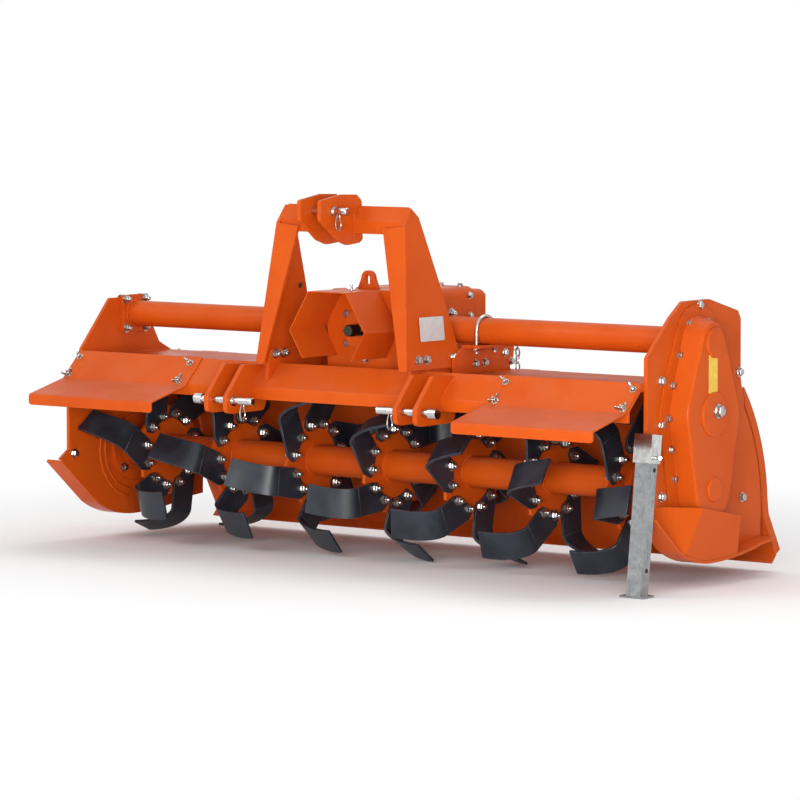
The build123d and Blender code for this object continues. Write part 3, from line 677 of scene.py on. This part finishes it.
# ---------------------------------------------------------------- frame fasteners
class TILLER_OT_frame_bolts(bpy.types.Operator):
    """Bolts of the cross tube, mast feet, tube supports, bearing and side plates"""
    bl_idname = "tiller.frame_bolts"
    bl_label = "Frame bolts"

    def execute(self, context):
        ware = context.scene.tiller_hardware
        flats = ware.frame_bolt
        bm = bmesh.new()
        outside = IN_LEFT - 10
        for x, way in TUBE_ENDS:
            for y, z in TUBE_BOLTS:
                nut(bm, facing(spot(x, y, z), (way, 0, 0)), flats, y)
        for y, z in TUBE_BOLTS:
            bolt(bm, facing(spot(outside, y, z), (-1, 0, 0)), flats, y)
        for side in (-1, 1):
            for y in (-261, -224, -100, -63):
                lean = Vector((side, 0, 0.1))
                bolt(bm, facing(spot(side * 269.7, y, 331), lean), flats, y)
                nut(bm, facing(spot(side * 247.3, y, 329), -lean), flats, y)
            for y, z in ((-13, 309), (30, 310), (125, 333), (155, 307)):
                bolt(bm, facing(spot(side * 283, y, z), (side, 0, 0)), flats * 0.85, y)
            for y in (-43, 43):
                nut(bm, facing(spot(side * 309, y, 356), (0, 0, -1)), flats * 0.8, y)
        for k in range(4):
            a = radians(45 + 90 * k)
            y, z = BEARING_BOLTS * cos(a), BEARING_BOLTS * sin(a)
            bolt(bm, facing(spot(IN_LEFT + 12, y, z), (1, 0, 0)), flats, k)
            nut(bm, facing(spot(outside, y, z), (-1, 0, 0)), flats, k)
        for y, z in ((13, 502), (-166, 305), (-166, 185), (-164, -11), (211, 307), (228, -43)):
            bolt(bm, facing(spot(PLATE_OUT, y, z), (1, 0, 0)), flats, y)
        bolt(bm, facing(spot(IN_LEFT, -266, -2), (1, 0, 0)), flats, 0.4)
        zinc_piece("frame_bolts", bm)
        return {"FINISHED"}


class TILLER_OT_cover_bolts(bpy.types.Operator):
    """Small bolts of the gearbox, its cover, the gear case and the input guard"""
    bl_idname = "tiller.cover_bolts"
    bl_label = "Cover bolts"

    def execute(self, context):
        ware = context.scene.tiller_hardware
        flats = ware.small_bolt
        bm = bmesh.new()
        for y, z in ((45, 455), (87, 370), (120, 290), (140, 200), (127, 115), (110, 33)):
            for side in (-1, 1):
                bolt(bm, facing(spot(CASE_FLANGE, side * y, z), (1, 0, 0)), flats, y)
        for k in range(6):
            a = radians(30 + 60 * k)
            on = spot(84 * cos(a), BOX_FRONT, SHAFT_Z + 84 * sin(a))
            bolt(bm, facing(on, (0, -1, 0)), flats, k)
        for side in (-1, 1):
            for z in (-88, -30, 30, 88):
                on = spot(side * BOX_SIDE, COVER_FLANGE, SHAFT_Z + z)
                bolt(bm, facing(on, (side, 0, 0)), flats, z)
        for x in (-105, -35, 35, 105):
            on = spot(x, COVER_FLANGE, SHAFT_Z + BOX_HALF_HEIGHT)
            bolt(bm, facing(on, (0, 0, 1)), flats, x)
        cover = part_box("gearbox_cover")
        for sx in (-1, 1):
            for z in (cover[0].z + 0.02, (cover[0].z + cover[1].z) / 2, cover[1].z - 0.02):
                x = hitch_x + sx * ((cover[1].x - cover[0].x) / 2 - 0.02)
                bolt(bm, facing((x, cover[1].y, z), (0, 1, 0)), flats, z)
        zinc_piece("cover_bolts", bm)
        plug = bmesh.new()
        bolt(plug, facing(spot(BOSS_FACE, 6, IDLER_Z + 9), (1, 0, 0)), 0.028, 0.3)
        zinc_piece("middle_boss_bolt", plug)
        return {"FINISHED"}


def wing_screw(bm, place, width, turn):
    """Washer, boss, two raised wings and the screw's end."""
    washer(bm, place, width * 0.3, 0.0018)
    turned(bm, place, [(0, 0.0018), (width * 0.21, 0.0018), (width * 0.17, width * 0.3),
                       (width * 0.14, width * 0.34), (0, width * 0.34)], 16)
    w = width / 2
    outline = [(w * 0.2, 0.003)]
    outline += [(w * x, w * y) for x, y in ((0.62, 0.2), (0.92, 0.62), (1, 0.95), (0.88, 1.08),
                                            (0.66, 1.02), (0.44, 0.72), (0.2, 0.58))]
    for flip in (0, pi):
        stand = place @ Matrix.Rotation(turn + flip, 4, "Z") @ Matrix.Rotation(pi / 2, 4, "X")
        slab(bm, stand, outline, -width * 0.055, width * 0.055)
    turned(bm, place, [(0, width * 0.3), (width * 0.1, width * 0.3), (width * 0.1, width * 0.5),
                       (width * 0.08, width * 0.52), (0, width * 0.52)], 12)


class TILLER_OT_wing_screws(bpy.types.Operator):
    """Wing screws that hold the front shields, and the wing nut of the input guard"""
    bl_idname = "tiller.wing_screws"
    bl_label = "Wing screws"

    def execute(self, context):
        width = context.scene.tiller_hardware.wing_span
        bm = bmesh.new()
        slope = Vector((0, -1, 1)).normalized()
        for side in (-1, 1):
            for x in (572, 1000):
                for y in (-254, -303):
                    on = spot(side * x, y, y + 536) + slope * 0.0045
                    wing_screw(bm, facing(on, slope), width, 0.4 + x * 0.3 + y)
        on = spot(-17, -200, SHAFT_Z + BOX_HALF_HEIGHT)
        wing_screw(bm, facing(on, (0, 0, 1)), width * 0.9, 0.6)
        zinc_piece("wing_screws", bm, bevel=0.0006)
        return {"FINISHED"}


CLIP = ((0.004, 0.012), (-0.003, 0.0), (-0.010, -0.014), (-0.0115, -0.027), (-0.006, -0.038),
        (0.003, -0.0405), (0.011, -0.034), (0.0125, -0.023), (0.008, -0.012), (0.0045, -0.002),
        (0.0105, 0.008), (0.0135, 0.016))


def spring_clip(bm, place, wire):
    """Wire clip that hangs below a pin in one open loop, its two ends crossed over the pin."""
    side_step = 0.0048 / (len(CLIP) - 1)
    points = [place @ Vector((x, y, side_step * i)) for i, (x, y) in enumerate(CLIP)]
    points = smoothed(points, 5)
    rod(bm, points, [wire] * len(points), 8)


def pin_middle(node):
    """Depth and height of a hitch pin's axis."""
    low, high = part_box(node)
    return (low.y + high.y) / 2, (low.z + high.z) / 2


class TILLER_OT_spring_clips(bpy.types.Operator):
    """Spring clips through the hitch pins"""
    bl_idname = "tiller.spring_clips"
    bl_label = "Spring clips"

    def execute(self, context):
        wire = context.scene.tiller_hardware.clip_wire
        bm = bmesh.new()
        drop = 0.012
        y, z = pin_middle("lower_pin_left")
        for side in (-1, 1):
            x = hitch_x + side * 0.266
            spring_clip(bm, facing((x, y, z - drop), (1, 0.15, 0)), wire)
        y, z = pin_middle("top_link_pin")
        spring_clip(bm, facing((hitch_x + 0.056, y, z - drop), (1, 0.1, 0)), wire)
        zinc_piece("spring_clips", bm)
        return {"FINISHED"}


class TILLER_OT_input_stub(bpy.types.Operator):
    """Splined end of the input shaft"""
    bl_idname = "tiller.input_stub"
    bl_label = "Input shaft"

    def execute(self, context):
        low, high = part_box("input_shaft")
        middle = Vector(((low.x + high.x) / 2, high.y, (low.z + high.z) / 2))
        outer = (high.x - low.x) / 2
        root = outer * 0.84
        reach = high.y - low.y
        place = facing(middle, (0, -1, 0))
        # Height and width of each ring: the groove for the catch, then the chamfered end
        steps = [(0.0, 1.0), (reach - 0.04, 1.0), (reach - 0.039, 0.88), (reach - 0.032, 0.88),
                 (reach - 0.031, 1.0), (reach - 0.003, 1.0), (reach, 0.9)]
        spline = ((-0.46, root), (-0.24, root), (-0.2, outer), (0.0, outer), (0.2, outer),
                  (0.24, root))
        shape = [(2 * pi * (i + turn) / 6, r) for i in range(6) for turn, r in spline]
        bm = bmesh.new()
        rings = []
        for height, scale in steps:
            ring = [(a, min(r, outer * scale)) for a, r in shape]
            rings.append([bm.verts.new(place @ Vector((r * cos(a), r * sin(a), height)))
                          for a, r in ring])
        for lower, upper in zip(rings, rings[1:]):
            joined(bm, lower, upper)
        bm.faces.new(rings[0][::-1])
        hole = [bm.verts.new(place @ Vector((0.005 * cos(a), 0.005 * sin(a), reach)))
                for a, _ in shape]
        deep = bm.verts.new(place @ Vector((0, 0, reach - 0.006)))
        joined(bm, rings[-1], hole)
        for near, far in zip(hole, hole[1:] + hole[:1]):
            bm.faces.new((near, far, deep))
        stub = piece("input_stub", bm, materials()["shaft_steel"], "input", 0)
        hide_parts("input_shaft")
        return {"FINISHED"}


def shade_disc(bm, place, radius):
    """Thin dark disc that stands for a drilled hole, painted shade in place of the hole's shaded
    inside.
    """
    turned(bm, place, [(0, 0), (radius, 0), (radius, 0.0004), (0, 0.0004)], 20)


class TILLER_OT_hole_shades(bpy.types.Operator):
    """Dark discs of painted shade for the drilled holes of the stand's leg and the mast"""
    bl_idname = "tiller.holes"
    bl_label = "Drilled holes"

    def execute(self, context):
        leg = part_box("stand_leg")
        bm = bmesh.new()
        for y, z in ((-271, 73), (-306, -196)):
            for corner, way in ((leg[1], 1), (leg[0], -1)):
                place = spot(0, y, z)
                place.x = corner.x
                shade_disc(bm, facing(place, (way, 0, 0)), 0.0065)
        piece("leg_holes", bm, materials()["hole"], "stand", 0)
        bm = bmesh.new()
        for side in (-1, 1):
            shade_disc(bm, facing(spot(side * 232, -166, 520), (-side, 0, -0.1)), 0.008)
        piece("mast_holes", bm, materials()["hole"], "frame", 0)
        return {"FINISHED"}


CHAIN_X = 279
CHAIN_LINE = ((171, 346), (192, 341), (193.5, 320), (192.5, 299), (193, 278))
LINK_HALF_WIDTH = 0.0065
LINK_WIRE = 0.0024


def link(bm, start, end, flat_way):
    """One oval link; every second one lies across its neighbours."""
    place = facing((start + end) / 2, (end - start).normalized())
    straight = (end - start).length / 2 + 0.001 - LINK_HALF_WIDTH
    line = []
    for i in range(20):
        a = 2 * pi * i / 20
        wide = LINK_HALF_WIDTH * cos(a)
        reach = straight * (1 if sin(a) > 0 else -1) + LINK_HALF_WIDTH * sin(a)
        line.append(place @ Vector((wide, 0, reach) if flat_way else (0, wide, reach)))
    rod(bm, line, [LINK_WIRE] * len(line), 8, closed=True)


class TILLER_OT_chain(bpy.types.Operator):
    """Short chains on the tube supports, hooked up out of the way of the rear board"""
    bl_idname = "tiller.chain"
    bl_label = "Chains"

    def execute(self, context):
        bm = bmesh.new()
        for side in (-1, 1):
            ends = [spot(side * CHAIN_X, y, z) for y, z in CHAIN_LINE]
            for k, (start, end) in enumerate(zip(ends, ends[1:])):
                link(bm, start, end, k % 2)
        zinc_piece("support_chains", bm)
        return {"FINISHED"}


# ---------------------------------------------------------------- welds and pressed lines
def bead(bm, points, radius):
    """Rippled weld bead along straight runs between points."""
    line = []
    for a, b in zip(points, points[1:]):
        steps = max(int((b - a).length / 0.0026), 1)
        line += [a.lerp(b, i / steps) for i in range(steps)]
    line.append(points[-1])
    radii = [radius * (0.9 + 0.16 * sin(2.1 * i) + 0.06 * sin(0.37 * i)) for i in range(len(line))]
    rod(bm, line, radii, 6)


def ring_points(centre, radius, axis, count=40):
    """Points of a whole turn, the first one again at the end."""
    place = facing(centre, axis)
    points = [place @ point for point in circle(radius, count)]
    return points + points[:1]


class TILLER_OT_welds(bpy.types.Operator):
    """Weld beads where plates and tubes meet"""
    bl_idname = "tiller.welds"
    bl_label = "Weld beads"

    def execute(self, context):
        radius = context.scene.tiller_hardware.bead
        bm = bmesh.new()
        for x, way in TUBE_ENDS:
            bead(bm, ring_points(spot(x, 0, SHAFT_Z), 0.0395, (way, 0, 0)), radius)
        for side, plate in ((-1, IN_LEFT + 2), (1, IN_RIGHT - 2)):
            for x in (side * (ear + half) for ear in EARS for half in (-EAR_HALF, EAR_HALF)):
                corner = ((-241, 293), (-262, 274), (-300, 236))
                bead(bm, [spot(x, y, z) for y, z in corner], radius * 0.8)
            bead(bm, [spot(plate, y, 284) for y in (-225, 165)], radius)
            bead(bm, [spot(side * 262, y, 304) for y in (-278, -60)], radius * 0.8)
        for x in (ear + half for ear in TOP_EARS for half in (-TOP_EAR_HALF, TOP_EAR_HALF)):
            bead(bm, [spot(x, -262, z) for z in (740, 668)], radius * 0.7)
        bead(bm, ring_points(spot(IN_LEFT + 12, 0, 0), 0.058, (1, 0, 0)), radius)
        painted_piece("weld_beads", bm)
        return {"FINISHED"}


class TILLER_OT_rotor_welds(bpy.types.Operator):
    """Weld beads between the rotor tube and its flanges"""
    bl_idname = "tiller.rotor_welds"
    bl_label = "Rotor welds"

    def execute(self, context):
        ware = context.scene.tiller_hardware
        bm = bmesh.new()
        for x in flange_places(ware):
            for way in (-1, 1):
                centre = Vector((x + way * FLANGE_HALF, rotor_y, rotor_z))
                bead(bm, ring_points(centre, 0.0455, (way, 0, 0), 32), ware.bead)
        painted_piece("rotor_weld_beads", bm, "rotor")
        return {"FINISHED"}


class TILLER_OT_pressed_lines(bpy.types.Operator):
    """Raised stiffening lines pressed into the left side plate round the bearing"""
    bl_idname = "tiller.pressed_lines"
    bl_label = "Pressed lines"

    def execute(self, context):
        bm = bmesh.new()
        first, last = 150, 262
        turns = [radians(first + (last - first) * i / 24) for i in range(25)]
        for radius in (128, 150):
            line = [spot(IN_LEFT, radius * cos(a), radius * sin(a)) for a in turns]
            rod(bm, line, [0.004] * len(line), 8)
        painted_piece("pressed_lines", bm)
        return {"FINISHED"}


def label(name, material, place, width, height):
    """Blank plate with rounded corners and four rivets."""
    bm = bmesh.new()
    r = 0.004
    outline = []
    for sx, sy, start in ((1, 1, 0), (-1, 1, 90), (-1, -1, 180), (1, -1, 270)):
        cx, cy = sx * (width / 2 - r), sy * (height / 2 - r)
        for step in (0, 30, 60, 90):
            a = radians(start + step)
            outline.append((cx + r * cos(a), cy + r * sin(a)))
    slab(bm, place, outline, 0, 0.0009)
    for sx in (-1, 1):
        for sy in (-1, 1):
            corner = (sx * (width / 2 - 0.006), sy * (height / 2 - 0.006), 0.0009)
            turned(bm, place @ Matrix.Translation(corner),
                   [(0, 0), (0.0026, 0), (0.002, 0.0009), (0, 0.0013)], 10)
    piece(name, bm, material, "frame", 0.0002)


class TILLER_OT_plates(bpy.types.Operator):
    """Blank plates on the mast and on the gear case"""
    bl_idname = "tiller.plates"
    bl_label = "Blank plates"

    def execute(self, context):
        mats = materials()
        lean = Vector((1, 0, 0.1))
        label("mast_plate", mats["silver_plate"], facing(spot(264.6, -192, 416), lean),
              0.11, 0.068)
        label("case_plate", mats["yellow_plate"],
              facing(spot(CASE_FACE, -8, IDLER_Z + 112), (1, 0, 0)), 0.042, 0.108)
        return {"FINISHED"}


# ---------------------------------------------------------------- stage
AIM = spot(-24.7, 33.4, 187)


def area_light(name, place, aim, width, height, power):
    """Rectangular lamp turned to its aim."""
    light = bpy.data.lights.new(name, "AREA")
    light.shape = "RECTANGLE"
    light.size = width
    light.size_y = height
    light.energy = power
    obj = bpy.data.objects.new(name, light)
    obj.location = place
    obj.rotation_euler = (Vector(aim) - Vector(place)).to_track_quat("-Z", "Y").to_euler()
    bpy.context.scene.collection.objects.link(obj)


def staged(name, bm, material):
    """Part of the studio, which isn't part of the tiller."""
    mesh = bpy.data.meshes.new(name)
    bm.to_mesh(mesh)
    bm.free()
    mesh.materials.append(material)
    obj = bpy.data.objects.new(name, mesh)
    bpy.context.scene.collection.objects.link(obj)
    return obj


def dark_card(name, place, aim, width, height):
    """Dark board that only reflections see, so that metal and paint keep their depth."""
    bm = bmesh.new()
    w, h = width / 2, height / 2
    outline = [(-w, -h), (w, -h), (w, h), (-w, h)]
    slab(bm, facing(place, Vector(aim) - Vector(place)), outline, 0, 0.01)
    mat, _, _ = start_material(name, Base_Color=(0.02, 0.018, 0.016, 1), Roughness=1.0)
    card = staged(name, bm, mat)
    for ray in ("camera", "diffuse", "shadow", "transmission"):
        setattr(card, "visible_" + ray, False)


def plain_sight(tree):
    """1 for rays that look straight at the stage, in the open, in a reflection or through glass."""
    path = tree.nodes.new("ShaderNodeLightPath").outputs
    seen = sum_of(tree, "MAXIMUM", path["Is Camera Ray"], path["Is Glossy Ray"])
    return sum_of(tree, "MAXIMUM", seen, path["Is Transmission Ray"])


def set_camera(studio):
    lens = bpy.data.cameras.new("camera")
    lens.sensor_width = 36
    lens.lens = studio.lens
    lens.clip_end = 80
    camera = bpy.data.objects.new("camera", lens)
    bpy.context.scene.collection.objects.link(camera)
    az, el = radians(studio.azimuth), radians(studio.elevation)
    ahead = Vector((-sin(az) * cos(el), cos(az) * cos(el), -sin(el)))
    camera.location = AIM - ahead * studio.distance
    camera.rotation_euler = ahead.to_track_quat("-Z", "Y").to_euler()
    bpy.context.scene.camera = camera


def set_sky(studio):
    """White where it is seen, softer where it lights the tiller."""
    world = bpy.data.worlds.new("studio")
    bpy.context.scene.world = world
    world.use_nodes = True
    tree = world.node_tree
    tree.nodes.clear()
    level = add(tree, "ShaderNodeMapRange", i0=plain_sight(tree), i1=0.0, i2=1.0,
                i3=studio.sky, i4=1.0).outputs[0]
    background = add(tree, "ShaderNodeBackground", Color=(1, 1, 1, 1), Strength=level)
    output = tree.nodes.new("ShaderNodeOutputWorld")
    tree.links.new(background.outputs[0], output.inputs[0])


def set_floor():
    """Pale floor that keeps the tiller's shadow and turns plain white further out."""
    mat, tree, shader = start_material("floor", Roughness=0.9, Base_Color=(0.97, 0.98, 0.98, 1),
                                       Specular_IOR_Level=0.1)
    away = add(tree, "ShaderNodeVectorMath", {"operation": "LENGTH"},
               i0=object_place(tree)).outputs["Value"]
    plain = sum_of(tree, "MULTIPLY", plain_sight(tree), span(tree, away, 1.3, 2.6))
    glow = add(tree, "ShaderNodeEmission", Color=(1, 1, 1, 1), Strength=1.0).outputs[0]
    blend = add(tree, "ShaderNodeMixShader", i0=plain, i1=shader.outputs[0], i2=glow)
    tree.links.new(blend.outputs[0], tree.nodes["Material Output"].inputs["Surface"])
    bm = bmesh.new()
    outline = [(-30, -30), (30, -30), (30, 30), (-30, 30)]
    slab(bm, Matrix.Identity(4), outline, -0.02, 0)
    staged("floor", bm, mat)


class TILLER_OT_studio(bpy.types.Operator):
    """Pale floor, soft lights and the camera"""
    bl_idname = "tiller.studio"
    bl_label = "Studio"

    def execute(self, context):
        studio = context.scene.tiller_studio
        context.scene.view_settings.view_transform = "Standard"
        set_camera(studio)
        set_sky(studio)
        set_floor()
        area_light("key", (-3.5, -5.0, 4.6), (0, 0, 0.4), 3.6, 3.0, studio.key)
        area_light("fill", (5.0, -3.2, 2.6), (0.2, 0, 0.5), 2.6, 2.6, studio.fill)
        area_light("front", (3.6, -5.4, 0.9), (0, 0, 0.25), 3.6, 1.5, studio.front)
        dark_card("card_drive_side", (5.5, 0.5, 1.2), (0, 0, 0.8), 5.0, 3.2)
        dark_card("card_behind", (0, 6.5, 1.0), (0, 0, 0.8), 9.0, 1.9)
        area_light("top", (0.3, 1.2, 5.0), (0, 0, 0.4), 4.0, 3.0, studio.top)
        return {"FINISHED"}


class TILLER_PT_panel(bpy.types.Panel):
    """Everything that dresses the tiller"""
    bl_idname = "TILLER_PT_panel"
    bl_label = "Rotary tiller"
    bl_space_type = "VIEW_3D"
    bl_region_type = "UI"
    bl_category = "Tiller"

    def draw(self, context):
        for operator in OPERATORS:
            self.layout.operator(operator.bl_idname)
        for group_name in SETTINGS:
            settings = getattr(context.scene, group_name)
            box = self.layout.box()
            for name in settings.__annotations__:
                box.prop(settings, name)


SETTINGS = {"tiller_finish": TillerFinish, "tiller_hardware": TillerHardware,
            "tiller_studio": TillerStudio}
OPERATORS = (TILLER_OT_studio, TILLER_OT_paint, TILLER_OT_blades, TILLER_OT_blade_bolts,
             TILLER_OT_frame_bolts, TILLER_OT_cover_bolts, TILLER_OT_wing_screws,
             TILLER_OT_spring_clips, TILLER_OT_hole_shades, TILLER_OT_chain, TILLER_OT_input_stub,
             TILLER_OT_welds, TILLER_OT_rotor_welds, TILLER_OT_pressed_lines, TILLER_OT_plates)


def register():
    for cls in (*SETTINGS.values(), *OPERATORS, TILLER_PT_panel):
        bpy.utils.register_class(cls)
    for name, cls in SETTINGS.items():
        setattr(bpy.types.Scene, name, PointerProperty(type=cls))


def unregister():
    for name in SETTINGS:
        delattr(bpy.types.Scene, name)
    for cls in (TILLER_PT_panel, *reversed(OPERATORS), *reversed(tuple(SETTINGS.values()))):
        bpy.utils.unregister_class(cls)


def main():
    register()
    bpy.ops.tiller.studio()
    bpy.ops.tiller.paint()
    bpy.ops.tiller.blades()
    bpy.ops.tiller.blade_bolts()
    bpy.ops.tiller.frame_bolts()
    bpy.ops.tiller.cover_bolts()
    bpy.ops.tiller.wing_screws()
    bpy.ops.tiller.spring_clips()
    bpy.ops.tiller.holes()
    bpy.ops.tiller.chain()
    bpy.ops.tiller.input_stub()
    bpy.ops.tiller.welds()
    bpy.ops.tiller.rotor_welds()
    bpy.ops.tiller.pressed_lines()
    bpy.ops.tiller.plates()


if __name__ == "__main__":
    main()
